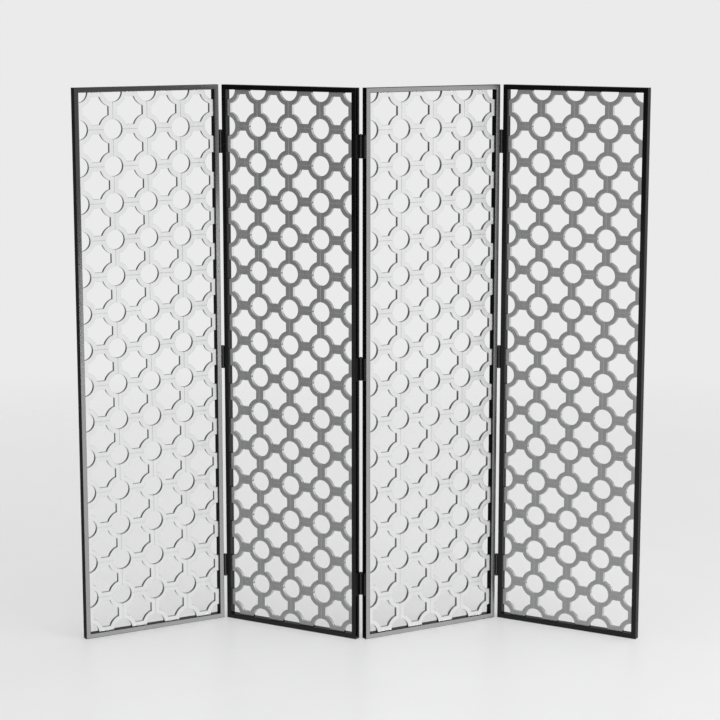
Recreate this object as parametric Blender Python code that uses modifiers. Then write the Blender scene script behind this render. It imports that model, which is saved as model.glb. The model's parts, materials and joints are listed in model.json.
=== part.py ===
"""Four-panel folding metal screen, standing in a zigzag.

Each panel is a mitred box-tube frame around an open lattice of rings joined by bars. Three butt hinges
join each pair of neighbouring panels. Metres, +Z up, +X to the viewer's right and -Y to the front.
The origin is on the floor under the middle of the bounding box.
"""

import math

import bmesh
import bpy
from mathutils import Matrix, Vector

# Lattice: rings on a square grid, joined by straight bars. The frame cuts it through the outer ring centres.
PITCH = 0.118
COLUMNS = 4
ROWS = 15
BAR_WIDTH = 0.0288
RING_HOLE_RADIUS = 0.0322
RING_OUTER_RADIUS = 0.0470
LATTICE_THICKNESS = 0.012
RING_HOLE_SIDES = 8  # a multiple of 4, so that halves and quarters end on the cut lines

# Frame: rectangular tube, wide face to the side.
TUBE_FACE = 0.016
TUBE_DEPTH = 0.025
TUBE_WALL = 0.0015

# Zigzag at rest: how far each panel is turned from the straight line.
PANEL_ANGLE = math.radians(29.5)

# Hinge: two leaves and a pin. The axis stands just outside the face that folds shut.
HINGE_LENGTH = 0.076
HINGE_INSET = 0.185  # from the end of the stile to the middle of the hinge
KNUCKLES = 11
KNUCKLE_GAP = 0.0003
AXIS_FROM_STILE = 0.0045
AXIS_PROUD = 0.001
LEAF_THICKNESS = 0.002
LEAF_REACH = 0.023  # from the axis to the far edge of the leaf
NOTCH_REACH = 0.004  # how far a notch clears the other leaf's knuckle
PIN_RADIUS = 0.0015
PIN_BORE_RADIUS = 0.0020
PIN_HEAD_RADIUS = 0.0028
PIN_HEAD_HEIGHT = 0.0012
BARREL_SIDES = 6

GAP = 0.0003  # between pieces that touch
WELD_DISTANCE = 0.00001  # points this close in one mesh are one point
CREASE_ANGLE = math.radians(65)  # a six-sided barrel shades round, and its square ends stay sharp

WINDOW_WIDTH = COLUMNS * PITCH
WINDOW_HEIGHT = ROWS * PITCH
PANEL_WIDTH = WINDOW_WIDTH + 2 * TUBE_FACE
PANEL_HEIGHT = WINDOW_HEIGHT + 2 * TUBE_FACE
BARREL_RADIUS = AXIS_FROM_STILE - GAP
AXIS_FROM_MIDDLE = TUBE_DEPTH / 2 + AXIS_PROUD
FRONT, BACK = -1, 1

PANELS = 4
HEADINGS = [PANEL_ANGLE * (-1) ** index for index in range(PANELS)]
# The face that folds shut at each junction, the panel that carries the pin, and the hinge heights.
JUNCTION_SIDES = [FRONT, BACK, FRONT]
PIN_PANELS = [0, 1, 3]
HINGE_HEIGHTS = {
    "bottom": HINGE_INSET,
    "middle": PANEL_HEIGHT / 2,
    "top": PANEL_HEIGHT - HINGE_INSET,
}
# Each panel hangs from an empty on its joint's axis: (junction, whether the axis is at the panel's right).
PANEL_PIVOTS = [(0, True), (1, True), (1, False), (2, False)]

COLLECTION = "folding_screen"


def clear_scene():
    for item in list(bpy.data.objects):
        bpy.data.objects.remove(item, do_unlink=True)


def new_collection(name):
    collection = bpy.data.collections.new(name)
    bpy.context.scene.collection.children.link(collection)
    return collection


def principled(name, colour, metallic, roughness):
    material = bpy.data.materials.new(name)
    material.use_nodes = True
    shader = material.node_tree.nodes["Principled BSDF"]
    shader.inputs["Base Color"].default_value = (*colour, 1.0)
    shader.inputs["Metallic"].default_value = metallic
    shader.inputs["Roughness"].default_value = roughness
    return material


def add_object(name, data, collection, material=None):
    item = bpy.data.objects.new(name, data)
    collection.objects.link(item)
    if material:
        item.data.materials.clear()
        item.data.materials.append(material)
    return item


# ---------------------------------------------------------------- layout


def turned(along, back, heading):
    """A plan vector given along a panel and towards its back, turned by the panel's heading."""
    return Matrix.Rotation(heading, 2) @ Vector((along, back))


def axis_in_panel(side, at_right):
    """Plan place of a junction's axis, measured from the panel's left end and its middle plane."""
    along = PANEL_WIDTH + AXIS_FROM_STILE if at_right else -AXIS_FROM_STILE
    return Vector((along, side * AXIS_FROM_MIDDLE))


def zigzag():
    """Plan places of the panels' left ends and of the three axes, centred on the bounding box."""
    left_ends = [Vector((0.0, 0.0))]
    axes = []
    for junction, side in enumerate(JUNCTION_SIDES):
        axis = left_ends[-1] + turned(*axis_in_panel(side, True), HEADINGS[junction])
        axes.append(axis)
        left_ends.append(axis - turned(*axis_in_panel(side, False), HEADINGS[junction + 1]))
    corners = [
        left + turned(along, back, heading)
        for left, heading in zip(left_ends, HEADINGS)
        for along in (0.0, PANEL_WIDTH)
        for back in (-TUBE_DEPTH / 2, TUBE_DEPTH / 2)
    ]
    middle = Vector(
        [(min(c[i] for c in corners) + max(c[i] for c in corners)) / 2 for i in range(2)]
    )
    return [left - middle for left in left_ends], [axis - middle for axis in axes]


def add_pivots(collection):
    """One empty for each panel, on the axis that the panel turns about."""
    axes = zigzag()[1]
    pivots = []
    for index, (junction, _) in enumerate(PANEL_PIVOTS):
        pivot = bpy.data.objects.new(f"panel_{index + 1}_pivot", None)
        pivot.location = (*axes[junction], 0.0)
        pivot.rotation_euler.z = HEADINGS[index]
        collection.objects.link(pivot)
        pivots.append(pivot)
    return pivots


def place(item, pivots, panel, along, back, height, rotation=(0.0, 0.0, 0.0)):
    """Puts a piece at a place measured from its panel's left end, middle plane and foot."""
    junction, at_right = PANEL_PIVOTS[panel]
    axis = axis_in_panel(JUNCTION_SIDES[junction], at_right)
    item.parent = pivots[panel]
    item.location = (along - axis.x, back - axis.y, height)
    item.rotation_euler = rotation


# ---------------------------------------------------------------- frame tubes


def open_box(mesh, length, inset):
    """The four long walls of a box along +Z, mitred so that the side nearest the plane X = 0 is longest."""
    corners = bmesh.ops.create_cube(mesh, size=1.0)["verts"]
    faces = {face for corner in corners for face in corner.link_faces}
    ends = [face for face in faces if len({corner.co.z > 0 for corner in face.verts}) == 1]
    bmesh.ops.delete(mesh, geom=ends, context="FACES_ONLY")
    for corner in corners:
        across = inset + (corner.co.x + 0.5) * (TUBE_FACE - 2 * inset)
        deep = corner.co.y * (TUBE_DEPTH - 2 * inset)
        cut = across + GAP
        corner.co = (across, deep, length - cut if corner.co.z > 0 else cut)
    return [face for face in faces if face.is_valid]


def tube_mesh(name, length):
    """A hollow mitred tube: an outer and an inner box, joined round both rims."""
    mesh = bmesh.new()
    open_box(mesh, length, 0.0)
    bore = open_box(mesh, length, TUBE_WALL)
    bmesh.ops.reverse_faces(mesh, faces=bore)
    rims = [edge for edge in mesh.edges if edge.is_boundary]
    for at_top in (False, True):
        rim = [edge for edge in rims if (edge.verts[0].co.z > length / 2) == at_top]
        bmesh.ops.bridge_loops(mesh, edges=rim)
    bmesh.ops.recalc_face_normals(mesh, faces=mesh.faces)
    data = bpy.data.meshes.new(name)
    mesh.to_mesh(data)
    mesh.free()
    return data


def add_frames(collection, pivots):
    """Two stiles and two rails for each panel. All four start as a tube along +Z and are turned into place."""
    paint = principled("frame_black", (0.012, 0.012, 0.014), 0.0, 0.18)
    stile = tube_mesh("stile", PANEL_HEIGHT)
    rail = tube_mesh("rail", PANEL_WIDTH)
    quarter = math.pi / 2
    places = {
        "left_stile": (stile, 0.0, 0.0, (0.0, 0.0, 0.0)),
        "right_stile": (stile, PANEL_WIDTH, 0.0, (0.0, 0.0, math.pi)),
        "bottom_rail": (rail, PANEL_WIDTH, 0.0, (0.0, -quarter, 0.0)),
        "top_rail": (rail, 0.0, PANEL_HEIGHT, (0.0, quarter, 0.0)),
    }
    for panel in range(PANELS):
        for name, (data, along, height, rotation) in places.items():
            tube = add_object(f"panel_{panel + 1}_{name}", data, collection, paint)
            place(tube, pivots, panel, along, 0.0, height, rotation)


# ---------------------------------------------------------------- lattice


def facet_radius(radius, half_angle):
    """Corner distance of a faceted arc whose corners and flats stray equally from the true radius."""
    return 2 * radius / (1 + math.cos(half_angle))


def arc(centre, radius, start, end, steps):
    return [
        (
            centre[0] + radius * math.cos(start + (end - start) * step / steps),
            centre[1] + radius * math.sin(start + (end - start) * step / steps),
        )
        for step in range(steps + 1)
    ]


def octofoil_hole(column, row):
    """The opening between four rings: four straight bar sides, and a flat across each ring."""
    half_bar = BAR_WIDTH / 2
    spread = math.pi / 4 - math.asin(half_bar / RING_OUTER_RADIUS)
    radius = facet_radius(RING_OUTER_RADIUS, spread)
    clear_of_bar = math.asin(half_bar / radius)
    outline = []
    for turn, (across, up) in enumerate([(0, 0), (1, 0), (1, 1), (0, 1)]):
        centre = ((column + across) * PITCH, (row + up) * PITCH)
        start = turn * math.pi / 2 + math.pi / 2 - clear_of_bar
        end = turn * math.pi / 2 + clear_of_bar
        outline += arc(centre, radius, start, end, 1)
    return outline


def ring_hole_radius():
    return facet_radius(RING_HOLE_RADIUS, math.pi / RING_HOLE_SIDES)


def lattice_border():
    """The cut edge of the lattice, with half rings along the sides and quarter rings in the corners."""
    quarter_steps = RING_HOLE_SIDES // 4
    points = []
    for turn, (bays, start) in enumerate(
        [(COLUMNS, (0, 0)), (ROWS, (COLUMNS, 0)), (COLUMNS, (COLUMNS, ROWS)), (ROWS, (0, ROWS))]
    ):
        heading = turn * math.pi / 2
        step = (round(math.cos(heading)), round(math.sin(heading)))
        for bay in range(bays):
            centre = ((start[0] + step[0] * bay) * PITCH, (start[1] + step[1] * bay) * PITCH)
            sweep = math.pi / 2 if bay == 0 else math.pi
            steps = quarter_steps if bay == 0 else 2 * quarter_steps
            points += arc(centre, ring_hole_radius(), heading + sweep, heading, steps)
    return [inside_window(*point) for point in points]


def inside_window(across, up):
    """Keeps a point of the cut edge the gap's width clear of the frame."""
    return (
        min(max(across, GAP), WINDOW_WIDTH - GAP),
        min(max(up, GAP), WINDOW_HEIGHT - GAP),
    )


def add_outline(curve, points):
    spline = curve.splines.new("POLY")
    spline.points.add(len(points) - 1)
    for point, (across, up) in zip(spline.points, points):
        point.co = (across, up, 0.0, 1.0)
    spline.use_cyclic_u = True


def lattice_curve():
    curve = bpy.data.curves.new("lattice", "CURVE")
    curve.dimensions = "2D"
    curve.fill_mode = "BOTH"
    curve.extrude = LATTICE_THICKNESS / 2
    add_outline(curve, lattice_border())
    for column in range(COLUMNS):
        for row in range(ROWS):
            add_outline(curve, octofoil_hole(column, row))
    for column in range(1, COLUMNS):
        for row in range(1, ROWS):
            centre = (column * PITCH, row * PITCH)
            add_outline(curve, arc(centre, ring_hole_radius(), 0.0, 2 * math.pi, RING_HOLE_SIDES)[:-1])
    return curve


def add_lattices(collection, pivots):
    polish = principled("lattice_polished", (0.83, 0.83, 0.84), 1.0, 0.3)
    curve = lattice_curve()
    for panel in range(PANELS):
        lattice = add_object(f"panel_{panel + 1}_lattice", curve, collection, polish)
        place(lattice, pivots, panel, TUBE_FACE, 0.0, TUBE_FACE, (math.pi / 2, 0.0, 0.0))


# ---------------------------------------------------------------- hinges


def knuckle_span(knuckle):
    """Height of a knuckle's lower and upper ends, measured from the middle of the hinge."""
    share = HINGE_LENGTH / KNUCKLES
    return -HINGE_LENGTH / 2 + knuckle * share, -HINGE_LENGTH / 2 + (knuckle + 1) * share


def leaf_blank(name):
    """A full-length leaf to the left of the axis, rolled round its pin bore and not yet notched."""
    curve = bpy.data.curves.new(name, "CURVE")
    curve.dimensions = "2D"
    curve.fill_mode = "BOTH"
    curve.extrude = HINGE_LENGTH / 2
    inner_face = LEAF_THICKNESS - BARREL_RADIUS
    last_angle = 3 * math.pi - 2 * math.pi / BARREL_SIDES
    barrel = arc((0.0, 0.0), BARREL_RADIUS, math.pi, last_angle, BARREL_SIDES - 1)
    neck = [(inner_face, barrel[-1][1]), (inner_face, LEAF_REACH)]
    add_outline(curve, [(-BARREL_RADIUS, LEAF_REACH), *barrel[:-1], *neck])
    bore_radius = facet_radius(PIN_BORE_RADIUS, math.pi / BARREL_SIDES)
    add_outline(curve, arc((0.0, 0.0), bore_radius, 0.0, 2 * math.pi, BARREL_SIDES)[:-1])
    return bpy.data.objects.new(name, curve)


def mesh_of(item):
    """The object's evaluated mesh, with loose caps welded to their sides."""
    bpy.context.view_layer.update()
    graph = bpy.context.evaluated_depsgraph_get()
    data = bpy.data.meshes.new_from_object(item.evaluated_get(graph))
    mesh = bmesh.new()
    mesh.from_mesh(data)
    bmesh.ops.remove_doubles(mesh, verts=mesh.verts, dist=WELD_DISTANCE)
    bmesh.ops.recalc_face_normals(mesh, faces=mesh.faces)
    mesh.to_mesh(data)
    mesh.free()
    return data


def notch_cutter(name, knuckles, cutters):
    """One box for each knuckle of the other leaf, wide enough to clear the barrel."""
    mesh = bmesh.new()
    for knuckle in knuckles:
        low, high = knuckle_span(knuckle)
        low -= KNUCKLE_GAP / 2 if knuckle > 0 else LEAF_THICKNESS
        high += KNUCKLE_GAP / 2 if knuckle < KNUCKLES - 1 else LEAF_THICKNESS
        near, far = -2 * BARREL_RADIUS, NOTCH_REACH
        box = Matrix.Diagonal((4 * BARREL_RADIUS, far - near, high - low, 1.0))
        middle = Matrix.Translation((0.0, (near + far) / 2, (low + high) / 2))
        bmesh.ops.create_cube(mesh, size=1.0, matrix=middle @ box)
    data = bpy.data.meshes.new(name)
    mesh.to_mesh(data)
    mesh.free()
    cutter = add_object(name, data, cutters)
    cutter.hide_render = True
    cutter.display_type = "WIRE"
    return cutter


def leaf_mesh(name, own_knuckles, collection, cutters):
    """A leaf to the left of the axis, with its own knuckles left standing between the notches."""
    others = [knuckle for knuckle in range(KNUCKLES) if knuckle not in own_knuckles]
    blank = leaf_blank(f"{name}_blank")
    collection.objects.link(blank)
    solid = add_object(f"{name}_solid", mesh_of(blank), collection)
    notches = solid.modifiers.new("notches", "BOOLEAN")
    notches.operation = "DIFFERENCE"
    notches.object = notch_cutter(f"{name}_notches", others, cutters)
    data = mesh_of(solid)
    data.name = name
    data.shade_smooth()
    data.set_sharp_from_angle(angle=CREASE_ANGLE)
    bpy.data.objects.remove(blank)
    bpy.data.objects.remove(solid)
    return data


def pin_mesh(name):
    """Half outline of the pin, from the top of its head down to its foot, at +X of the axis."""
    foot = -HINGE_LENGTH / 2
    under_head = HINGE_LENGTH / 2 + GAP
    top = under_head + PIN_HEAD_HEIGHT
    outline = [
        (0.0, top),
        (PIN_HEAD_RADIUS, top),
        (PIN_HEAD_RADIUS, under_head),
        (PIN_RADIUS, under_head),
        (PIN_RADIUS, foot),
        (0.0, foot),
    ]
    data = bpy.data.meshes.new(name)
    points = [(radius, 0.0, height) for radius, height in outline]
    data.from_pydata(points, [(i, i + 1) for i in range(len(points) - 1)], [])
    return data


def turn_profile(item):
    screw = item.modifiers.new("turn", "SCREW")
    screw.steps = screw.render_steps = BARREL_SIDES
    screw.use_merge_vertices = True
    screw.merge_threshold = WELD_DISTANCE


# Half turns that bring the left-hand leaf to the other side of the axis or to the other face.
LEAF_TURNS = {
    (FRONT, "left"): (0.0, 0.0, 0.0),
    (FRONT, "right"): (0.0, math.pi, 0.0),
    (BACK, "left"): (math.pi, 0.0, 0.0),
    (BACK, "right"): (0.0, 0.0, math.pi),
}


def add_hinges(collection, cutters, pivots):
    steel = principled("hinge_steel", (0.05, 0.05, 0.052), 0.9, 0.32)
    end_knuckles = range(0, KNUCKLES, 2)
    inner_knuckles = range(1, KNUCKLES, 2)
    pin_leaf = leaf_mesh("pin_leaf", end_knuckles, collection, cutters)
    free_leaf = leaf_mesh("free_leaf", inner_knuckles, collection, cutters)
    pin_data = pin_mesh("hinge_pin")
    for junction, side in enumerate(JUNCTION_SIDES):
        for level, height in HINGE_HEIGHTS.items():
            name = f"hinge_{junction + 1}{junction + 2}_{level}"
            for hand, panel in (("left", junction), ("right", junction + 1)):
                holds_pin = panel == PIN_PANELS[junction]
                data = pin_leaf if holds_pin else free_leaf
                along, back = axis_in_panel(side, hand == "left")
                leaf = add_object(f"{name}_{hand}_leaf", data, collection, steel)
                place(leaf, pivots, panel, along, back, height, LEAF_TURNS[side, hand])
                if holds_pin:
                    pin = add_object(f"{name}_pin", pin_data, collection, steel)
                    turn_profile(pin)
                    place(pin, pivots, panel, along, back, height)


def main():
    clear_scene()
    screen = new_collection(COLLECTION)
    cutters = new_collection("cutters")
    pivots = add_pivots(screen)
    add_frames(screen, pivots)
    add_lattices(screen, pivots)
    add_hinges(screen, cutters, pivots)
    bpy.context.view_layer.update()


main()
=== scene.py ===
# %% [markdown]
# # A folding metal screen, four panels wide
#
# The screen stands in a zigzag. Each panel is a black lacquered box-tube frame, and inside it sixty
# polished hoops are welded edge to edge. Four neighbouring hoops leave a round hole where their corners
# meet, so the eye reads rings joined by bars. Three butt hinges join each pair of panels.
#
# The engineering model already fixes every place and size. This lesson makes the surfaces that a person
# sees: rounded tube corners, the groove between two hoops, turned pins, lacquer and polished metal.

import json
import math

import bmesh
import bpy
from mathutils import Matrix, Vector

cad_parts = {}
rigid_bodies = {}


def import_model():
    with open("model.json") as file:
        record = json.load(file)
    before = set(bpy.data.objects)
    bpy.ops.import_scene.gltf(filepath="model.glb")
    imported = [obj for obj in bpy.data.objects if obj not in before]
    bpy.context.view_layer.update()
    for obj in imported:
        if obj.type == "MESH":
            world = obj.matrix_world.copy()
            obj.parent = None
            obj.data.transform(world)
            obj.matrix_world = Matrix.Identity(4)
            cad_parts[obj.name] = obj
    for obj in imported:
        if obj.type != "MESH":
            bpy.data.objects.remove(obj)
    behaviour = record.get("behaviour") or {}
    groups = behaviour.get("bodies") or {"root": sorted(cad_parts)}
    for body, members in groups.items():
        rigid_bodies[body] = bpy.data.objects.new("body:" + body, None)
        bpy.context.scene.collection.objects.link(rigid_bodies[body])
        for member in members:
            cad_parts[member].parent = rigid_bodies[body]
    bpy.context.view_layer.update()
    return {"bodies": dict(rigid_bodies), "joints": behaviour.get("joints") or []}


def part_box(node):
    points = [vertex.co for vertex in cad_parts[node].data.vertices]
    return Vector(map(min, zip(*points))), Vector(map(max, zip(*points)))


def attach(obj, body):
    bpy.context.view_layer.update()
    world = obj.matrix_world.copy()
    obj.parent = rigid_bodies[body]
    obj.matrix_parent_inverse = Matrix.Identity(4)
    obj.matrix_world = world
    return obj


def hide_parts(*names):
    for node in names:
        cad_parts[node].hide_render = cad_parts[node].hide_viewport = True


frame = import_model()

# %% [markdown]
# ## Sizes
#
# A maker of this screen would set a few sizes first: the pitch of the lattice and the section of the tube.
# Everything else follows. They are written here once, in metres, and each panel is then found from its two
# upright tubes in the engineering model, so nothing has to be fitted by eye.

# %% Driving sizes
PITCH = 0.118
COLUMNS = 4
ROWS = 15
BAR_WIDTH = 0.0288
RING_HOLE_RADIUS = 0.0322
RING_OUTER_RADIUS = 0.0470
LATTICE_DEPTH = 0.012
TUBE_FACE = 0.016
TUBE_DEPTH = 0.025
WINDOW_WIDTH = COLUMNS * PITCH
WINDOW_HEIGHT = ROWS * PITCH
PANEL_WIDTH = WINDOW_WIDTH + 2 * TUBE_FACE
PANEL_HEIGHT = WINDOW_HEIGHT + 2 * TUBE_FACE
PANEL_NAMES = sorted(name for name in frame["bodies"])
print("panels", PANEL_NAMES, "each", round(PANEL_WIDTH, 3), "by", round(PANEL_HEIGHT, 3))


# %% Find each panel's place
def box_middle(node):
    """The middle of an engineering part's box."""
    low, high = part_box(node)
    return (Vector(low) + Vector(high)) / 2


def panel_place(panel):
    """Takes a panel drawn flat, with its left end at X = 0 and its foot at Z = 0, to its real place."""
    left = box_middle(f"{panel}_left_stile")
    right = box_middle(f"{panel}_right_stile")
    across = right - left
    across.z = 0.0
    heading = math.atan2(across.y, across.x)
    end = left - across.normalized() * TUBE_FACE / 2
    return Matrix.Translation((end.x, end.y, 0.0)) @ Matrix.Rotation(heading, 4, "Z")


PLACES = {panel: panel_place(panel) for panel in PANEL_NAMES}
for panel, place in PLACES.items():
    print(panel, "turned", round(math.degrees(place.to_euler().z), 2), "degrees")

# %% [markdown]
# ## The camera
#
# A long lens from a little above eye height keeps the panels' sides nearly upright, which suits a tall flat
# object. Setting the camera first means every later step can be judged from the same place.

# %% Camera
LENS = 104.28
EYE_PLACE = (-0.0029, -6.7359, 2.0971)
LOOK_DOWN_DEGREES = 9.995

camera_data = bpy.data.cameras.new("camera")
camera_data.sensor_width = 36.0
camera_data.lens = LENS
camera = bpy.data.objects.new("camera", camera_data)
camera.location = EYE_PLACE
camera.rotation_euler = (math.radians(90 - LOOK_DOWN_DEGREES), 0.0, 0.0)
bpy.context.scene.collection.objects.link(camera)
bpy.context.scene.camera = camera
print("camera", round(-EYE_PLACE[1], 2), "m in front, looking down", LOOK_DOWN_DEGREES, "degrees")

# %% [markdown]
# ## A tidy way to make parts
#
# A few small helpers carry most of the work. One turns a list of flat outlines into a plate of even
# thickness, using Blender's filled 2D curve. One reads off an object's finished mesh, with its modifiers
# applied, and welds any seam that is open by less than a thousandth of a millimetre. The last one copies a
# drawn mesh, moves the copy's points to their real place, lets the piece ride on its panel, and hides the
# engineering parts it stands for. Moving the points themselves has a second use: a pattern that follows the
# points then differs from panel to panel, as real lacquer and buffing do.


# %% Helpers: arcs and plates
def arc(centre, radius, start, end, steps):
    """Points along an arc, both ends included."""
    angles = [start + (end - start) * step / steps for step in range(steps + 1)]
    return [(centre[0] + radius * math.cos(a), centre[1] + radius * math.sin(a)) for a in angles]


def plate_from_outlines(name, outlines, thickness):
    """A flat plate: the first outline is its edge and the others are holes. It lies in the XY plane."""
    curve = bpy.data.curves.new(name, "CURVE")
    curve.dimensions = "2D"
    curve.fill_mode = "BOTH"
    curve.extrude = thickness / 2
    for outline in outlines:
        spline = curve.splines.new("POLY")
        spline.points.add(len(outline) - 1)
        for point, (across, up) in zip(spline.points, outline):
            point.co = (across, up, 0.0, 1.0)
        spline.use_cyclic_u = True
    plate = bpy.data.objects.new(name, curve)
    bpy.context.scene.collection.objects.link(plate)
    return plate


print("outline helpers ready")

# %% Helpers: finished meshes and pieces
SEAM = 0.000001


def finished_mesh(item):
    """The object's mesh with its modifiers applied and loose seams welded. The object itself is removed."""
    bpy.context.view_layer.update()
    graph = bpy.context.evaluated_depsgraph_get()
    data = bpy.data.meshes.new_from_object(item.evaluated_get(graph))
    work = bmesh.new()
    work.from_mesh(data)
    bmesh.ops.remove_doubles(work, verts=work.verts, dist=SEAM)
    bmesh.ops.recalc_face_normals(work, faces=work.faces)
    work.to_mesh(data)
    work.free()
    bpy.data.objects.remove(item)
    return data


def add_piece(name, drawn, body, place, material, stands_for=()):
    """Puts a copy of a drawn mesh in the scene as one piece of the screen, its points moved to place."""
    data = drawn.copy()
    data.name = name
    data.transform(place)
    data.materials.append(material)
    piece = bpy.data.objects.new(name, data)
    bpy.context.scene.collection.objects.link(piece)
    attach(piece, body)
    if stands_for:
        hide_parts(*stands_for)
    return piece


print("mesh helpers ready")

# %% [markdown]
# ## Building a material from small signs of making
#
# Real metal is never one even colour. Lacquer pools slightly and picks up a soft ripple, polished bars keep
# faint wipe marks, and steel hinges rub bright where they are touched. Each finish below is a Principled
# shader whose colour and roughness drift with noise, and whose surface is lifted a few hundredths of a
# millimetre by a bump. Noise works in the piece's own metres, so a pattern keeps its true size.


# %% Helpers: a material and its noise
def start_material(name, metallic):
    """A new material, its node tree and its Principled shader."""
    material = bpy.data.materials.new(name)
    material.use_nodes = True
    shader = material.node_tree.nodes["Principled BSDF"]
    shader.inputs["Metallic"].default_value = metallic
    return material, material.node_tree, shader


def noise(tree, scale, detail, roughness=0.55, stretch=(1.0, 1.0, 1.0)):
    """Noise in the piece's own metres. A stretch below 1 draws it out along that axis, as brushing does."""
    place = tree.nodes.new("ShaderNodeTexCoord")
    mapping = tree.nodes.new("ShaderNodeMapping")
    mapping.inputs["Scale"].default_value = stretch
    pattern = tree.nodes.new("ShaderNodeTexNoise")
    pattern.inputs["Scale"].default_value = scale
    pattern.inputs["Detail"].default_value = detail
    pattern.inputs["Roughness"].default_value = roughness
    tree.links.new(place.outputs["Object"], mapping.inputs["Vector"])
    tree.links.new(mapping.outputs["Vector"], pattern.inputs["Vector"])
    return pattern.outputs["Fac"]


def spread(tree, value, low, high, from_low=0.3, from_high=0.7):
    """Moves a value to the range that a socket needs."""
    ranger = tree.nodes.new("ShaderNodeMapRange")
    ranger.inputs["From Min"].default_value = from_low
    ranger.inputs["From Max"].default_value = from_high
    ranger.inputs["To Min"].default_value = low
    ranger.inputs["To Max"].default_value = high
    tree.links.new(value, ranger.inputs["Value"])
    return ranger.outputs["Result"]


print("noise helpers ready")


# %% Helpers: mixing, marks and bumps
def blend_colours(tree, amount, first, second):
    """One colour turning to another as the amount goes from 0 to 1. Each is a link or three numbers."""
    mixer = tree.nodes.new("ShaderNodeMix")
    mixer.data_type = "RGBA"
    tree.links.new(amount, mixer.inputs["Factor"])
    for socket, colour in (("A", first), ("B", second)):
        target = next(s for s in mixer.inputs if s.name == socket and s.type == "RGBA")
        if isinstance(colour, tuple):
            target.default_value = (*colour, 1.0)
        else:
            tree.links.new(colour, target)
    return next(s for s in mixer.outputs if s.type == "RGBA")


def calculate(tree, operation, *values):
    """One sum on two or three values. Each is a link from another node, or a number."""
    step = tree.nodes.new("ShaderNodeMath")
    step.operation = operation
    for socket, value in zip(step.inputs, values):
        if isinstance(value, float):
            socket.default_value = value
        else:
            tree.links.new(value, socket)
    return step.outputs["Value"]


def mark(tree, name):
    """A value stored on the mesh, such as how far a point is down in a groove."""
    attribute = tree.nodes.new("ShaderNodeAttribute")
    attribute.attribute_name = name
    return attribute.outputs["Fac"]


def lift(tree, shader, height, millimetres, strength):
    """Raises and lowers the surface by a pattern, as a bump."""
    bump = tree.nodes.new("ShaderNodeBump")
    bump.inputs["Strength"].default_value = strength
    bump.inputs["Distance"].default_value = millimetres / 1000
    tree.links.new(height, bump.inputs["Height"])
    tree.links.new(bump.outputs["Normal"], shader.inputs["Normal"])


print("mixing helpers ready")

# %% [markdown]
# ## Black lacquer for the frames
#
# The frames are steel tube under a smooth, thick, glossy black coat. Close up such a coat has the faint
# ripple called orange peel, and at the corners it wears thin. The ripple is a fine bump, and the worn corners
# come from a mark stored on the rounded edges, broken up by noise so that it never forms a tidy line.


# %% Finish: black lacquer
COAT_DEEP = (0.0016, 0.0016, 0.0018)
COAT_THIN = (0.0032, 0.0032, 0.0035)
COAT_WORN = (0.040, 0.038, 0.036)
COAT_ROUGHNESS = (0.11, 0.17)
COAT_IOR = 1.30
SMEAR_STRETCH = (1.0, 1.0, 0.35)


def black_lacquer():
    material, tree, shader = start_material("black_lacquer", 0.0)
    drift = spread(tree, noise(tree, scale=6.0, detail=3.0), 0.0, 1.0)
    coat = blend_colours(tree, drift, COAT_DEEP, COAT_THIN)
    blotches = noise(tree, scale=140.0, detail=5.0, roughness=0.7)
    patches = spread(tree, blotches, 0.0, 1.0, from_low=0.56, from_high=0.68)
    rub = calculate(tree, "MULTIPLY", mark(tree, "edge"), patches)
    tree.links.new(blend_colours(tree, rub, coat, COAT_WORN), shader.inputs["Base Color"])
    smears = noise(tree, scale=11.0, detail=6.0, roughness=0.62, stretch=SMEAR_STRETCH)
    tree.links.new(spread(tree, smears, *COAT_ROUGHNESS), shader.inputs["Roughness"])
    orange_peel = noise(tree, scale=420.0, detail=2.0, roughness=0.5)
    lift(tree, shader, orange_peel, millimetres=0.02, strength=0.12)
    shader.inputs["IOR"].default_value = COAT_IOR
    return material


LACQUER = black_lacquer()
print("finish", LACQUER.name)

# %% [markdown]
# ## Polished metal for the hoops
#
# The hoops are bright and nearly colourless. They are wiped and buffed along their length rather than
# mirror-finished, so they catch a soft sheen and pass it from panel to panel. Buffing marks are noise
# stretched many times along one axis. The groove where two hoops meet gets painted shade: its mark darkens
# the metal there, and it also roughens it.


# %% Finish: buffed silver metal
SILVER_DULL = (0.78, 0.784, 0.79)
SILVER_BRIGHT = (0.83, 0.833, 0.84)
SILVER_PAINTED_GROOVE_SHADE = (0.56, 0.56, 0.57)
SILVER_ROUGHNESS = (0.24, 0.33)
GROOVE_ROUGHENING = 0.25
WIPE_STRETCH = (1.0, 1.0, 0.06)
SCRATCH_STRETCH = (1.0, 1.0, 0.12)


def buffed_silver():
    material, tree, shader = start_material("buffed_silver", 1.0)
    drift = spread(tree, noise(tree, scale=9.0, detail=4.0), 0.0, 1.0)
    tone = blend_colours(tree, drift, SILVER_DULL, SILVER_BRIGHT)
    groove = mark(tree, "groove")
    # Painted shade: the groove mark blends the silver towards a darker grey where two hoops meet.
    tree.links.new(blend_colours(tree, groove, tone, SILVER_PAINTED_GROOVE_SHADE), shader.inputs["Base Color"])
    wipes = noise(tree, scale=75.0, detail=5.0, roughness=0.6, stretch=WIPE_STRETCH)
    soft = spread(tree, wipes, *SILVER_ROUGHNESS)
    rough = calculate(tree, "MULTIPLY_ADD", groove, GROOVE_ROUGHENING, soft)
    tree.links.new(rough, shader.inputs["Roughness"])
    scratches = noise(tree, scale=900.0, detail=3.0, roughness=0.6, stretch=SCRATCH_STRETCH)
    lift(tree, shader, scratches, millimetres=0.006, strength=0.25)
    return material


SILVER = buffed_silver()
print("finish", SILVER.name)

# %% [markdown]
# ## Blackened steel for the hinges
#
# Hinges are steel, darkened rather than painted, because paint would scrape off the knuckles. The metal is
# left metallic with a low, uneven reflectance, and the rolled barrels are a little brighter where they rub.


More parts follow.
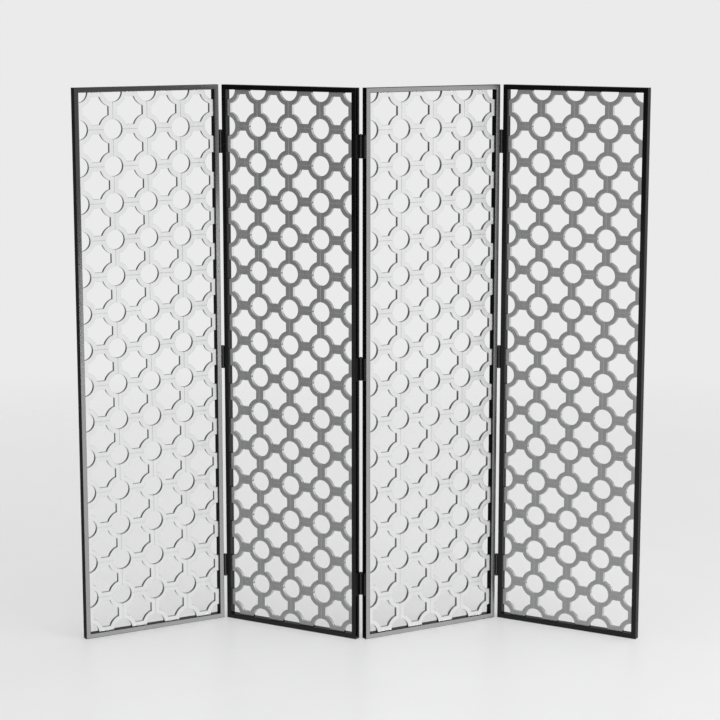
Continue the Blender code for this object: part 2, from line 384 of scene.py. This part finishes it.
# %% Finish: blackened steel
STEEL_DARK = (0.012, 0.012, 0.013)
STEEL_LIGHT = (0.030, 0.030, 0.030)
STEEL_RUBBED = (0.16, 0.158, 0.155)
STEEL_ROUGHNESS = (0.26, 0.42)


def blackened_steel():
    material, tree, shader = start_material("blackened_steel", 1.0)
    mottle = spread(tree, noise(tree, scale=260.0, detail=5.0, roughness=0.65), 0.0, 1.0)
    tone = blend_colours(tree, mottle, STEEL_DARK, STEEL_LIGHT)
    specks = spread(tree, noise(tree, scale=700.0, detail=3.0), 0.1, 0.8)
    rub = calculate(tree, "MULTIPLY", mark(tree, "edge"), specks)
    tree.links.new(blend_colours(tree, rub, tone, STEEL_RUBBED), shader.inputs["Base Color"])
    wear = noise(tree, scale=400.0, detail=4.0, roughness=0.6)
    tree.links.new(spread(tree, wear, *STEEL_ROUGHNESS), shader.inputs["Roughness"])
    grain = noise(tree, scale=1400.0, detail=3.0, roughness=0.6)
    lift(tree, shader, grain, millimetres=0.01, strength=0.4)
    return material


BLACKENED = blackened_steel()
print("finish", BLACKENED.name)

# %% [markdown]
# ## One hoop
#
# The real lattice is not sawn from a sheet. It is made of identical closed hoops, each bent with a hollow at
# all four corners, and the hoops stand side by side like tiles. A shallow groove runs down the middle of
# every bar, where two hoops meet. So one hoop is drawn: the outer outline is a square with a quarter ring
# bitten out of each corner, and the inner one follows it at the width of half a bar.
#
# A filled 2D curve suits this well. It keeps both outlines as true arcs, and its own bevel rounds the rims,
# which is what makes the groove appear between neighbours.

# %% Hoop outlines
HALF_PITCH = PITCH / 2
HAIRLINE = 0.00005
RIM = 0.0007
RIM_ROWS = 1
HOLE_STEPS = 14
OPENING_STEPS = 10
QUARTER = math.pi / 2
CORNERS = [(1, 1), (-1, 1), (-1, -1), (1, -1)]


def hoop_edge(radius, back_off, reach, steps):
    """A square outline whose four corners are hollowed by arcs. back_off trims each arc's two ends."""
    outline = []
    for turn, (across, up) in enumerate(CORNERS):
        centre = (across * HALF_PITCH, up * HALF_PITCH)
        start = 3 * QUARTER + turn * QUARTER - back_off
        end = 2 * QUARTER + turn * QUARTER + back_off
        outline += arc(centre, radius, start, end, steps)
    return [(max(-reach, min(reach, x)), max(-reach, min(reach, y))) for x, y in outline]


half_bar = BAR_WIDTH / 2
bar_angle = math.asin(half_bar / RING_OUTER_RADIUS)
hoop_outside = hoop_edge(RING_HOLE_RADIUS, 0.0, HALF_PITCH - HAIRLINE, HOLE_STEPS)
hoop_inside = hoop_edge(RING_OUTER_RADIUS, bar_angle, HALF_PITCH - half_bar, OPENING_STEPS)
print("hoop outline points", len(hoop_outside), "outside and", len(hoop_inside), "inside")

# %% The hoop as a mesh
hoop_curve = plate_from_outlines("hoop", [hoop_outside, hoop_inside], LATTICE_DEPTH - 2 * RIM)
hoop_curve.data.bevel_depth = RIM
hoop_curve.data.bevel_resolution = RIM_ROWS
hoop_curve.data.offset = -RIM
hoop = finished_mesh(hoop_curve)
hoop.transform(Matrix.Rotation(QUARTER, 4, "X"))
hoop.shade_smooth()
hoop_width = max(vertex.co.x for vertex in hoop.vertices) - min(vertex.co.x for vertex in hoop.vertices)
print("hoop", round(1000 * hoop_width, 2), "mm wide,", len(hoop.polygons), "faces")

# %% [markdown]
# ## Marking the groove
#
# A material can only paint shade into the groove if it knows where the groove is. A named value is stored on
# every vertex: 1 on the side walls where hoops meet, falling to 0 at the flat front and back. The shader
# reads it back by name, and uses it to darken the silver there as painted shade and to roughen it.


# %% Groove mark
def store_mark(data, name, value_at):
    """Keeps one number for each vertex, found from where the vertex is."""
    mark_layer = data.attributes.new(name, "FLOAT", "POINT")
    mark_layer.data.foreach_set("value", [value_at(vertex.co) for vertex in data.vertices])


GROOVE_REACH = 1.1 * RIM


def groove_at(point):
    """How deep a point lies in the groove between two hoops, from 0 to 1."""
    on_seam = max(abs(point.x), abs(point.z)) > HALF_PITCH - HAIRLINE - GROOVE_REACH
    return min(1.0, (LATTICE_DEPTH / 2 - abs(point.y)) / RIM) if on_seam else 0.0


store_mark(hoop, "groove", groove_at)
marked = sum(groove_at(vertex.co) > 0 for vertex in hoop.vertices)
print(marked, "of", len(hoop.vertices), "points lie in the groove")

# %% [markdown]
# ## Sixty hoops to a panel
#
# The hoop is moved to the first square of the panel's window, and two Array modifiers repeat it, four across
# and fifteen up. Arrays keep the mesh small and the spacing exact. A Weighted Normal modifier comes last, so
# that each flat face shades flat and only the rounded rims turn the light.


# %% Lattice of hoops
def repeat(item, label, count, step):
    """An array of count copies, each one step further on."""
    array = item.modifiers.new(label, "ARRAY")
    array.count = count
    array.use_relative_offset = False
    array.use_constant_offset = True
    array.constant_offset_displace = step


def keep_flats_flat(item):
    """Turns the shading of each flat face true to the face, and leaves the bend to the rounded rims."""
    weighted = item.modifiers.new("flat faces shade flat", "WEIGHTED_NORMAL")
    weighted.keep_sharp = True


first_square = Matrix.Translation((TUBE_FACE + HALF_PITCH, 0.0, TUBE_FACE + HALF_PITCH))
hoop.transform(first_square)
for panel, place in PLACES.items():
    node = f"{panel}_lattice"
    hoops = add_piece(f"{panel}_hoops", hoop, panel, place, SILVER, [node])
    repeat(hoops, "columns", COLUMNS, place.to_3x3() @ Vector((PITCH, 0.0, 0.0)))
    repeat(hoops, "rows", ROWS, Vector((0.0, 0.0, PITCH)))
    keep_flats_flat(hoops)
print(COLUMNS * ROWS, "hoops in each of", len(PLACES), "panels")

# %% [markdown]
# ## Weld lines
#
# Neighbouring hoops are joined by a thin line of metal at the bottom of each groove, and the outer hoops to
# the frame in the same way. Without it, light would show through the hairline. Each line is a slim strip
# with small bevels, set just below the surface, and one piece holds all the lines of a panel.

# %% Weld strips
WELD_WIDTH = 0.0008
WELD_SET_BACK = 0.0008
WELD_END_GAP = 0.001
WELD_DEPTH = LATTICE_DEPTH - 2 * WELD_SET_BACK
WELD_LENGTH = PITCH - 2 * RING_HOLE_RADIUS - 2 * WELD_END_GAP

weld_layout = []
for column in range(COLUMNS + 1):
    weld_layout += [((column, row + 0.5), (WELD_WIDTH, WELD_LENGTH)) for row in range(ROWS)]
for column in range(COLUMNS):
    weld_layout += [((column + 0.5, row), (WELD_LENGTH, WELD_WIDTH)) for row in range(ROWS + 1)]

weld_work = bmesh.new()
for (across, up), (width, height) in weld_layout:
    middle = (TUBE_FACE + across * PITCH, 0.0, TUBE_FACE + up * PITCH)
    shape = Matrix.Translation(middle) @ Matrix.Diagonal((width, WELD_DEPTH, height, 1.0))
    bmesh.ops.create_cube(weld_work, size=1.0, matrix=shape)
bmesh.ops.bevel(weld_work, geom=weld_work.edges, offset=WELD_WIDTH / 4, segments=1, affect="EDGES")
weld_lines = bpy.data.meshes.new("weld_lines")
weld_work.to_mesh(weld_lines)
weld_work.free()
# Every weld line takes the full groove mark, so the silver paints it dark with shade, and rough.
store_mark(weld_lines, "groove", lambda point: 1.0)
for panel, place in PLACES.items():
    add_piece(f"{panel}_welds", weld_lines, panel, place, SILVER)
print(len(weld_layout), "weld lines in each panel")

# %% [markdown]
# ## The frame
#
# A frame is four lengths of rectangular tube, cut at 45 degrees, welded and ground flush before lacquering,
# so that no joint shows. One closed sweep therefore stands for all four tubes. The section is a rectangle
# with rounded corners, as drawn tube has. It is placed at the panel's four corners, each time leaning along
# the mitre, and the four rings of points are joined by faces. Writing the sweep out keeps the mitres exact,
# which a bevelled curve would pinch.

# %% Tube section
TUBE_CORNER = 0.0016
TUBE_CORNER_STEPS = 4
TUBE_CREASE = 40
TUBES = ("left_stile", "right_stile", "bottom_rail", "top_rail")


def rounded_rectangle(width, depth, radius, steps):
    """Outline from 0 to width and centred in depth, with a note of how near each point is to a corner."""
    section = []
    for turn, (across, deep) in enumerate(CORNERS):
        centre = (width / 2 + across * (width / 2 - radius), deep * (depth / 2 - radius))
        points = arc(centre, radius, turn * QUARTER, (turn + 1) * QUARTER, steps)
        corner_marks = [1 - abs(2 * step / steps - 1) for step in range(steps + 1)]
        section += list(zip(points, corner_marks))
    return section


tube_section = rounded_rectangle(TUBE_FACE, TUBE_DEPTH, TUBE_CORNER, TUBE_CORNER_STEPS)
print("tube section has", len(tube_section), "points")


# %% Sweep the frame
def smooth_shade(data, crease_degrees):
    """Smooth shading that still keeps every edge sharper than crease_degrees."""
    data.shade_smooth()
    data.set_sharp_from_angle(angle=math.radians(crease_degrees))
    return data


def swept_frame(name):
    """A mitred ring of tube round the panel, standing on Z = 0 with its left end at X = 0."""
    work = bmesh.new()
    edge_marks = work.verts.layers.float.new("edge")
    rings = []
    for across, up in CORNERS:
        corner_x = PANEL_WIDTH if across > 0 else 0.0
        corner_z = PANEL_HEIGHT if up > 0 else 0.0
        ring = []
        for (inward, deep), corner_mark in tube_section:
            vertex = work.verts.new((corner_x - across * inward, deep, corner_z - up * inward))
            vertex[edge_marks] = corner_mark
            ring.append(vertex)
        rings.append(ring)
    count = len(tube_section)
    for ring, following in zip(rings, rings[1:] + rings[:1]):
        for i in range(count):
            j = (i + 1) % count
            work.faces.new((ring[i], ring[j], following[j], following[i]))
    bmesh.ops.recalc_face_normals(work, faces=work.faces)
    data = bpy.data.meshes.new(name)
    work.to_mesh(data)
    work.free()
    return smooth_shade(data, TUBE_CREASE)


frame_mesh = swept_frame("panel_frame")
for panel, place in PLACES.items():
    tubes = [f"{panel}_{tube}" for tube in TUBES]
    ring = add_piece(f"{panel}_frame", frame_mesh, panel, place, LACQUER, tubes)
    keep_flats_flat(ring)
print("frame", len(frame_mesh.polygons), "faces, one for each panel")

# %% [markdown]
# ## Hinge leaves
#
# A butt hinge is two plates rolled round one pin. The roll is cut into knuckles, and the two leaves' knuckles
# interlock. As on the real hinge, a leaf starts as an extruded section: a flat plate that runs into a ring
# round the pin. A row of boxes then cuts the notches where the other leaf's knuckles go. The outer leaf
# keeps six knuckles and the inner leaf five.

# %% Hinge sizes
HINGE_LENGTH = 0.076
KNUCKLES = 11
KNUCKLE_GAP = 0.0003
BARREL_RADIUS = 0.0042
BARREL_STEPS = 28
LEAF_THICKNESS = 0.002
LEAF_REACH = 0.023
LEAF_CORNER = 0.003
LEAF_CORNER_STEPS = 5
ROUND_PROFILE = 0.5
NOTCH_REACH = 0.004
PIN_BORE_RADIUS = 0.0018
HINGE_EDGE = 0.00035
HINGE_EDGE_FROM = 50
HINGE_CREASE = 35
KNUCKLE_HEIGHT = HINGE_LENGTH / KNUCKLES
print("knuckle height", round(1000 * KNUCKLE_HEIGHT, 2), "mm")


# %% Leaf section and blank
FULL_TURN = 4 * QUARTER


def as_mesh_object(item):
    """The same shape as an ordinary mesh object, ready for modifiers."""
    name = item.name
    data = finished_mesh(item)
    solid = bpy.data.objects.new(name, data)
    bpy.context.scene.collection.objects.link(solid)
    return solid


def leaf_blank():
    """A full-length leaf on the left of the axis: its plate runs to +Y and its roll closes round the pin."""
    inner_face = LEAF_THICKNESS - BARREL_RADIUS
    meeting = math.acos(inner_face / BARREL_RADIUS)
    roll = arc((0.0, 0.0), BARREL_RADIUS, FULL_TURN / 2, FULL_TURN + meeting, BARREL_STEPS)
    outline = [(-BARREL_RADIUS, LEAF_REACH), *roll, (inner_face, LEAF_REACH)]
    bore = arc((0.0, 0.0), PIN_BORE_RADIUS, 0.0, FULL_TURN, BARREL_STEPS)[:-1]
    return as_mesh_object(plate_from_outlines("leaf_blank", [outline, bore], HINGE_LENGTH))


print("leaf", round(1000 * (LEAF_REACH + BARREL_RADIUS), 1), "mm wide with its roll")


# %% Notches for the other leaf's knuckles
def cut(item, cutter_mesh):
    """Subtracts a mesh from an object and removes the cutter afterwards."""
    cutter = bpy.data.objects.new("cutter", cutter_mesh)
    bpy.context.scene.collection.objects.link(cutter)
    difference = item.modifiers.new("cut", "BOOLEAN")
    difference.operation = "DIFFERENCE"
    difference.object = cutter
    result = as_mesh_object(item)
    bpy.data.objects.remove(cutter)
    return result


def notch_boxes(knuckles):
    """One box for each knuckle of the other leaf."""
    work = bmesh.new()
    for knuckle in knuckles:
        low = -HINGE_LENGTH / 2 + knuckle * KNUCKLE_HEIGHT - KNUCKLE_GAP / 2
        high = low + KNUCKLE_HEIGHT + KNUCKLE_GAP
        low -= LEAF_THICKNESS if knuckle == 0 else 0.0
        high += LEAF_THICKNESS if knuckle == KNUCKLES - 1 else 0.0
        near = -2 * BARREL_RADIUS
        middle = Matrix.Translation((0.0, (near + NOTCH_REACH) / 2, (low + high) / 2))
        size = Matrix.Diagonal((4 * BARREL_RADIUS, NOTCH_REACH - near, high - low, 1.0))
        bmesh.ops.create_cube(work, size=1.0, matrix=middle @ size)
    boxes = bpy.data.meshes.new("notches")
    work.to_mesh(boxes)
    work.free()
    return boxes


print("notches", round(1000 * (KNUCKLE_HEIGHT + KNUCKLE_GAP), 2), "mm high")

# %% [markdown]
# ## Shaping a leaf
#
# The far corners of each leaf are rounded, as stamped hinges are, and every edge gets a slight break. The
# round is a bevel on just the two far corner edges, picked by where they lie.

# %% Finish a leaf
TOUCHING = 0.00001
ROLL_OUTSIDE = 0.97 * BARREL_RADIUS


def round_edges(item, width, segments, from_degrees):
    """Breaks every edge that turns more sharply than from_degrees."""
    bevel = item.modifiers.new("round edges", "BEVEL")
    bevel.width = width
    bevel.segments = segments
    bevel.limit_method = "ANGLE"
    bevel.angle_limit = math.radians(from_degrees)


def round_far_corners(item):
    """Rounds the two corners farthest from the pin, and says how many it found."""
    work = bmesh.new()
    work.from_mesh(item.data)
    corners = []
    for edge in work.edges:
        far = all(vertex.co.y > LEAF_REACH - TOUCHING for vertex in edge.verts)
        at_end = all(abs(vertex.co.z) > HINGE_LENGTH / 2 - TOUCHING for vertex in edge.verts)
        if far and at_end:
            corners.append(edge)
    bmesh.ops.bevel(
        work,
        geom=corners,
        offset=LEAF_CORNER,
        segments=LEAF_CORNER_STEPS,
        profile=ROUND_PROFILE,
        affect="EDGES",
    )
    work.to_mesh(item.data)
    work.free()
    return len(corners)


def barrel_at(point):
    """1 on the outside of the rolled barrel, where hands and the other panel rub it."""
    return 1.0 if math.hypot(point.x, point.y) > ROLL_OUTSIDE else 0.0


def hinge_leaf(name, own_knuckles):
    """One finished leaf, which keeps only its own knuckles."""
    others = [knuckle for knuckle in range(KNUCKLES) if knuckle not in own_knuckles]
    leaf = cut(leaf_blank(), notch_boxes(others))
    rounded = round_far_corners(leaf)
    round_edges(leaf, HINGE_EDGE, 1, HINGE_EDGE_FROM)
    data = finished_mesh(leaf)
    data.name = name
    store_mark(data, "edge", barrel_at)
    print(name, len(data.polygons), "faces,", rounded, "corners rounded")
    return smooth_shade(data, HINGE_CREASE)


outer_leaf = hinge_leaf("outer_leaf", range(0, KNUCKLES, 2))
inner_leaf = hinge_leaf("inner_leaf", range(1, KNUCKLES, 2))

# %% [markdown]
# ## Hinge pins
#
# The pin is a turned part: half of its outline is drawn and spun round the axis. It has a low domed head with
# a thin brim, and a chamfered foot.

# %% Pin sizes
PIN_RADIUS = 0.0015
PIN_FOOT_RADIUS = 0.0012
PIN_CHAMFER = 0.0003
PIN_HEAD_RADIUS = 0.0028
PIN_HEAD_HEIGHT = 0.0012
PIN_BRIM = 0.0004
PIN_GAP = 0.0003
PIN_SIDES = 28
DOME_STEPS = 6
print("pin", round(2000 * PIN_RADIUS, 2), "mm thick, in a bore of", round(2000 * PIN_BORE_RADIUS, 2), "mm")


# %% Turned pin
def turned_pin():
    """Half of the pin's outline, from the top of the dome to the foot, spun round the axis."""
    under_head = HINGE_LENGTH / 2 + PIN_GAP
    crown = PIN_HEAD_HEIGHT - PIN_BRIM
    foot = -HINGE_LENGTH / 2
    outline = []
    for step in range(DOME_STEPS + 1):
        angle = step / DOME_STEPS * QUARTER
        height = under_head + PIN_BRIM + crown * math.cos(angle)
        outline.append((PIN_HEAD_RADIUS * math.sin(angle), height))
    outline += [(PIN_HEAD_RADIUS, under_head), (PIN_RADIUS, under_head)]
    outline += [(PIN_RADIUS, foot + PIN_CHAMFER), (PIN_FOOT_RADIUS, foot), (0.0, foot)]
    data = bpy.data.meshes.new("pin")
    points = [(radius, 0.0, height) for radius, height in outline]
    data.from_pydata(points, [(i, i + 1) for i in range(len(points) - 1)], [])
    pin = bpy.data.objects.new("pin", data)
    bpy.context.scene.collection.objects.link(pin)
    spin = pin.modifiers.new("spin", "SCREW")
    spin.steps = PIN_SIDES
    spin.render_steps = PIN_SIDES
    spin.use_merge_vertices = True
    spin.merge_threshold = TOUCHING
    return smooth_shade(finished_mesh(pin), HINGE_CREASE)


def head_at(point):
    """1 on the head, which stands clear of the barrel and is rubbed."""
    return 1.0 if point.z > HINGE_LENGTH / 2 else 0.0


pin_mesh = turned_pin()
store_mark(pin_mesh, "edge", head_at)
print("pin", len(pin_mesh.polygons), "faces")

# %% [markdown]
# ## Hanging the hinges
#
# Three hinges join each pair of panels. The engineering model says where every leaf is, so each new leaf is
# matched to its own node by name: the joint gives the axis, the node's box gives the height, and half turns
# bring the leaf to the left or right panel and to the face that folds shut.

# %% Hinge places
LEVELS = ("bottom", "middle", "top")
FOLDS = {joint["name"].removeprefix("fold_").replace("_", ""): joint for joint in frame["joints"]}
HALF_TURN = FULL_TURN / 2
print("folds", sorted(FOLDS))


def leaf_turn(hand, axis_behind):
    """The half turn that brings the drawn leaf to its side of the axis and to the right face."""
    if axis_behind:
        return Matrix.Rotation(HALF_TURN, 4, "Z" if hand == "right" else "X")
    return Matrix.Rotation(HALF_TURN, 4, "Y") if hand == "right" else Matrix.Identity(4)


def axis_place(pair, panel, level):
    """The hinge axis at the height of its own leaf, turned with the panel."""
    hand = "left" if panel.endswith(pair[0]) else "right"
    height = box_middle(f"hinge_{pair}_{level}_{hand}_leaf").z
    axis = Vector(FOLDS[pair]["pos_m"])
    turn = PLACES[panel].to_3x3().to_4x4()
    return Matrix.Translation((axis.x, axis.y, height)) @ turn


# %% Add leaves and pins
def rides_on(node, panel):
    """Whether this engineering part belongs to this panel."""
    return node in [part.name for part in frame["bodies"][panel].children]


def hang(node, drawn, panel, place):
    """Adds the detailed piece that stands for one part of a hinge."""
    add_piece(f"{node}_detailed", drawn, panel, place, BLACKENED, [node])


for pair in FOLDS:
    for level in LEVELS:
        pin = f"hinge_{pair}_{level}_pin"
        for hand, number in zip(("left", "right"), pair):
            panel = f"panel_{number}"
            place = axis_place(pair, panel, level)
            in_panel = PLACES[panel].inverted() @ place.translation
            drawn = outer_leaf if rides_on(pin, panel) else inner_leaf
            turned = place @ leaf_turn(hand, in_panel.y > 0)
            hang(f"hinge_{pair}_{level}_{hand}_leaf", drawn, panel, turned)
            if rides_on(pin, panel):
                hang(pin, pin_mesh, panel, place)
print(len(FOLDS) * len(LEVELS), "hinges hung")

# %% [markdown]
# ## Floor
#
# A wide disc of smooth pale board. It fades out with distance from the middle, so that it melts into the
# backdrop with no horizon line. The fade depends on the place on the floor, not on where one stands.

# %% Floor
FLOOR_RADIUS = 7.0
FLOOR_SOLID_TO = 1.5
FLOOR_GONE_AT = 5.0
FLOOR_SIDES = 96
BOARD_DARK = (0.80, 0.80, 0.80)
BOARD_LIGHT = (0.815, 0.815, 0.815)
BOARD_ROUGHNESS = (0.30, 0.38)


def pale_board():
    material, tree, shader = start_material("pale_board", 0.0)
    drift = spread(tree, noise(tree, scale=2.2, detail=3.0), 0.0, 1.0)
    tree.links.new(blend_colours(tree, drift, BOARD_DARK, BOARD_LIGHT), shader.inputs["Base Color"])
    scuffs = noise(tree, scale=30.0, detail=4.0)
    tree.links.new(spread(tree, scuffs, *BOARD_ROUGHNESS), shader.inputs["Roughness"])
    place = tree.nodes.new("ShaderNodeTexCoord")
    distance = tree.nodes.new("ShaderNodeVectorMath")
    distance.operation = "LENGTH"
    tree.links.new(place.outputs["Object"], distance.inputs[0])
    fade = spread(tree, distance.outputs["Value"], 1.0, 0.0, FLOOR_SOLID_TO, FLOOR_GONE_AT)
    tree.links.new(fade, shader.inputs["Alpha"])
    return material


floor_work = bmesh.new()
bmesh.ops.create_circle(floor_work, cap_ends=True, segments=FLOOR_SIDES, radius=FLOOR_RADIUS)
floor_mesh = bpy.data.meshes.new("floor")
floor_work.to_mesh(floor_mesh)
floor_work.free()
floor_mesh.materials.append(pale_board())
floor = bpy.data.objects.new("floor", floor_mesh)
bpy.context.scene.collection.objects.link(floor)
floor.visible_glossy = False
print("floor", 2 * FLOOR_RADIUS, "m across")

# %% [markdown]
# ## Surroundings
#
# Polished metal shows what is round it, so the room matters more than the lamps. Seen directly, the room is
# one even pale grey. Everything else, reflections and soft light, comes from a sky drawn with four curves.
# From left to right it goes from dim to bright, as in a studio with one wall of diffuser. That glow is
# strongest at the horizon, and some light is added overhead and from the pale floor. The last curve halves
# the sky behind the screen, as a backdrop in shade does.

# %% Tones of the sky
BACKDROP = (0.83, 0.83, 0.83)
CURVE_CEILING = 2.0
SIDE_TONES = [(-1.0, 0.10), (-0.875, 0.125), (-0.80, 0.20), (0.0, 0.95)]
SIDE_TONES += [(0.77, 1.0), (0.87, 1.05), (1.0, 1.05)]
SIDE_SHARES = [(-1.0, 0.2), (-0.26, 0.86), (0.0, 1.0), (0.25, 0.72), (1.0, 0.5)]
OVERHEAD_TONES = [(-1.0, 0.75), (-0.26, 0.10), (0.0, 0.0), (0.60, 0.08), (0.84, 0.60), (1.0, 0.70)]
REAR_AXIS = (-0.3, 1.0, 0.0)
REAR_SHARES = [(-1.0, 1.0), (0.18, 1.0), (0.44, 0.47), (1.0, 0.5)]
print("sky goes from", SIDE_TONES[0][1], "at the left to", SIDE_TONES[-1][1], "at the right")


# %% A curve of tones
def tone_ramp(tree, value, stops):
    """A curve through (position, tone) pairs, for a value that runs from -1 to 1."""
    ramp = tree.nodes.new("ShaderNodeFloatCurve")
    curve = ramp.mapping.curves[0]
    ramp.mapping.clip_max_y = CURVE_CEILING
    while len(curve.points) < len(stops):
        curve.points.new(0.5, 0.5)
    for point, (position, tone) in zip(curve.points, stops):
        point.location = ((position + 1) / 2, tone)
        point.handle_type = "VECTOR"
    ramp.mapping.update()
    tree.links.new(spread(tree, value, 0.0, 1.0, -1.0, 1.0), ramp.inputs["Value"])
    return ramp.outputs["Value"]


print("curve helper ready")


# %% World
def studio_world():
    """An even backdrop for the eye, and a shaped sky for reflections and soft light."""
    world = bpy.data.worlds.new("studio")
    world.use_nodes = True
    tree = world.node_tree
    background = tree.nodes["Background"]
    place = tree.nodes.new("ShaderNodeTexCoord")
    axes = tree.nodes.new("ShaderNodeSeparateXYZ")
    tree.links.new(place.outputs["Generated"], axes.inputs["Vector"])
    side = tone_ramp(tree, axes.outputs["X"], SIDE_TONES)
    share = tone_ramp(tree, axes.outputs["Z"], SIDE_SHARES)
    overhead = tone_ramp(tree, axes.outputs["Z"], OVERHEAD_TONES)
    sky = calculate(tree, "MULTIPLY_ADD", side, share, overhead)
    rearward = tree.nodes.new("ShaderNodeVectorMath")
    rearward.operation = "DOT_PRODUCT"
    rearward.inputs[1].default_value = REAR_AXIS
    tree.links.new(place.outputs["Generated"], rearward.inputs[0])
    shade = tone_ramp(tree, rearward.outputs["Value"], REAR_SHARES)
    shaded_sky = calculate(tree, "MULTIPLY", sky, shade)
    seen = tree.nodes.new("ShaderNodeLightPath")
    colour = blend_colours(tree, seen.outputs["Is Camera Ray"], shaded_sky, BACKDROP)
    tree.links.new(colour, background.inputs["Color"])
    return world


bpy.context.scene.world = studio_world()
bpy.context.scene.view_settings.view_transform = "Standard"
print("world", bpy.context.scene.world.name)

# %% [markdown]
# ## Lamps
#
# Gloss on black lacquer is a picture of a lamp, so it needs lamps of its own. Tall cards stand to the right
# for the two panels that face right, and one dim card stands to the left for the two that face left. Light
# linking keeps each card's light to its own frames. The lower ends of the cards pass below the floor,
# because the eye looks down on the screen and a level reflection points down as well. The front cards step
# down, so the gloss on the first panel fades towards its top, and a faint card over the same stretch keeps
# the fade from ending in plain black. Two more lamps light only the floor. The key throws the soft shadow to
# the left and behind, and the wide fill, which nothing blocks, keeps it light.

# %% Light linking groups
def lit_group(name, members):
    """A collection that names the pieces a lamp lights, or the ones that block it."""
    group = bpy.data.collections.new(name)
    for member in members:
        group.objects.link(member)
    return group


pieces = [item for item in bpy.context.scene.objects if item.type == "MESH" and not item.hide_render]
frames = [bpy.data.objects[f"{panel}_frame"] for panel in PANEL_NAMES]
standing = lit_group("standing", [item for item in pieces if item is not floor])
facing_right = lit_group("facing_right", frames[0::2])
facing_left = lit_group("facing_left", frames[1::2])
ground = lit_group("ground", [floor])


# %% Soft lamps
def soft_lamp(name, location, facing, size, radiance, receivers, blockers=standing):
    """A rectangular lamp that looks at the point called facing and lights only the receivers.

    radiance is how bright its face is, so a larger lamp of the same radiance gives more light.
    """
    data = bpy.data.lights.new(name, "AREA")
    data.shape = "RECTANGLE"
    data.size, data.size_y = size
    data.energy = radiance * math.pi * size[0] * size[1]
    lamp = bpy.data.objects.new(name, data)
    lamp.location = location
    aim = Vector(facing) - Vector(location)
    lamp.rotation_euler = aim.to_track_quat("-Z", "Y").to_euler()
    lamp.visible_camera = False
    lamp.light_linking.receiver_collection = receivers
    lamp.light_linking.blocker_collection = blockers
    bpy.context.scene.collection.objects.link(lamp)
    return lamp


CARD_X = 3.0
CARD_TONE = 18.0
CARD_FOOT = -2.2


def side_card(name, x, extent, radiance, receivers):
    """An upright card facing across the screen. extent is its two ends in Y, then its foot and its top."""
    near, far, foot, top = extent
    middle = (x, (near + far) / 2, (foot + top) / 2)
    across = (0.0, middle[1], middle[2])
    return soft_lamp(name, middle, across, (far - near, top - foot), radiance, receivers)


print("lamp helpers ready")

# %% Cards and floor lamps
REAR_CARD = (-2.2, -1.15, CARD_FOOT, 1.9)
HAZE_CARD = (-4.4, -2.2, 0.0, 2.2)
HAZE_SHARE = 0.12
LEFT_CARD = (-3.8, -0.6, CARD_FOOT, 0.8)
LEFT_SHARE = 0.04
STEPS_START = -2.2
STEP_WIDTH = 0.55
STEP_TOPS = (1.0, 0.65, 0.15, -0.3)
FOOT_OF_SCREEN = (0.0, 0.0, 0.0)
KEY_PLACE = (2.6, -2.2, 3.2)
KEY_SIZE = (1.6, 1.6)
KEY_RADIANCE = 3.0
FILL_PLACE = (0.0, 0.01, 6.0)
FILL_SIZE = (12.0, 12.0)
FILL_RADIANCE = 0.68

lamps = [
    side_card("rear_card", CARD_X, REAR_CARD, CARD_TONE, facing_right),
    side_card("haze_card", CARD_X, HAZE_CARD, HAZE_SHARE * CARD_TONE, facing_right),
    side_card("left_card", -CARD_X, LEFT_CARD, LEFT_SHARE * CARD_TONE, facing_left),
    soft_lamp("floor_key", KEY_PLACE, FOOT_OF_SCREEN, KEY_SIZE, KEY_RADIANCE, ground),
    soft_lamp("floor_fill", FILL_PLACE, FOOT_OF_SCREEN, FILL_SIZE, FILL_RADIANCE, ground, ground),
]
for step, top in enumerate(STEP_TOPS):
    far = STEPS_START - step * STEP_WIDTH
    extent = (far - STEP_WIDTH, far, CARD_FOOT, top)
    lamps.append(side_card(f"step_card_{step}", CARD_X, extent, CARD_TONE, facing_right))
print("lamps", [lamp.name for lamp in lamps])
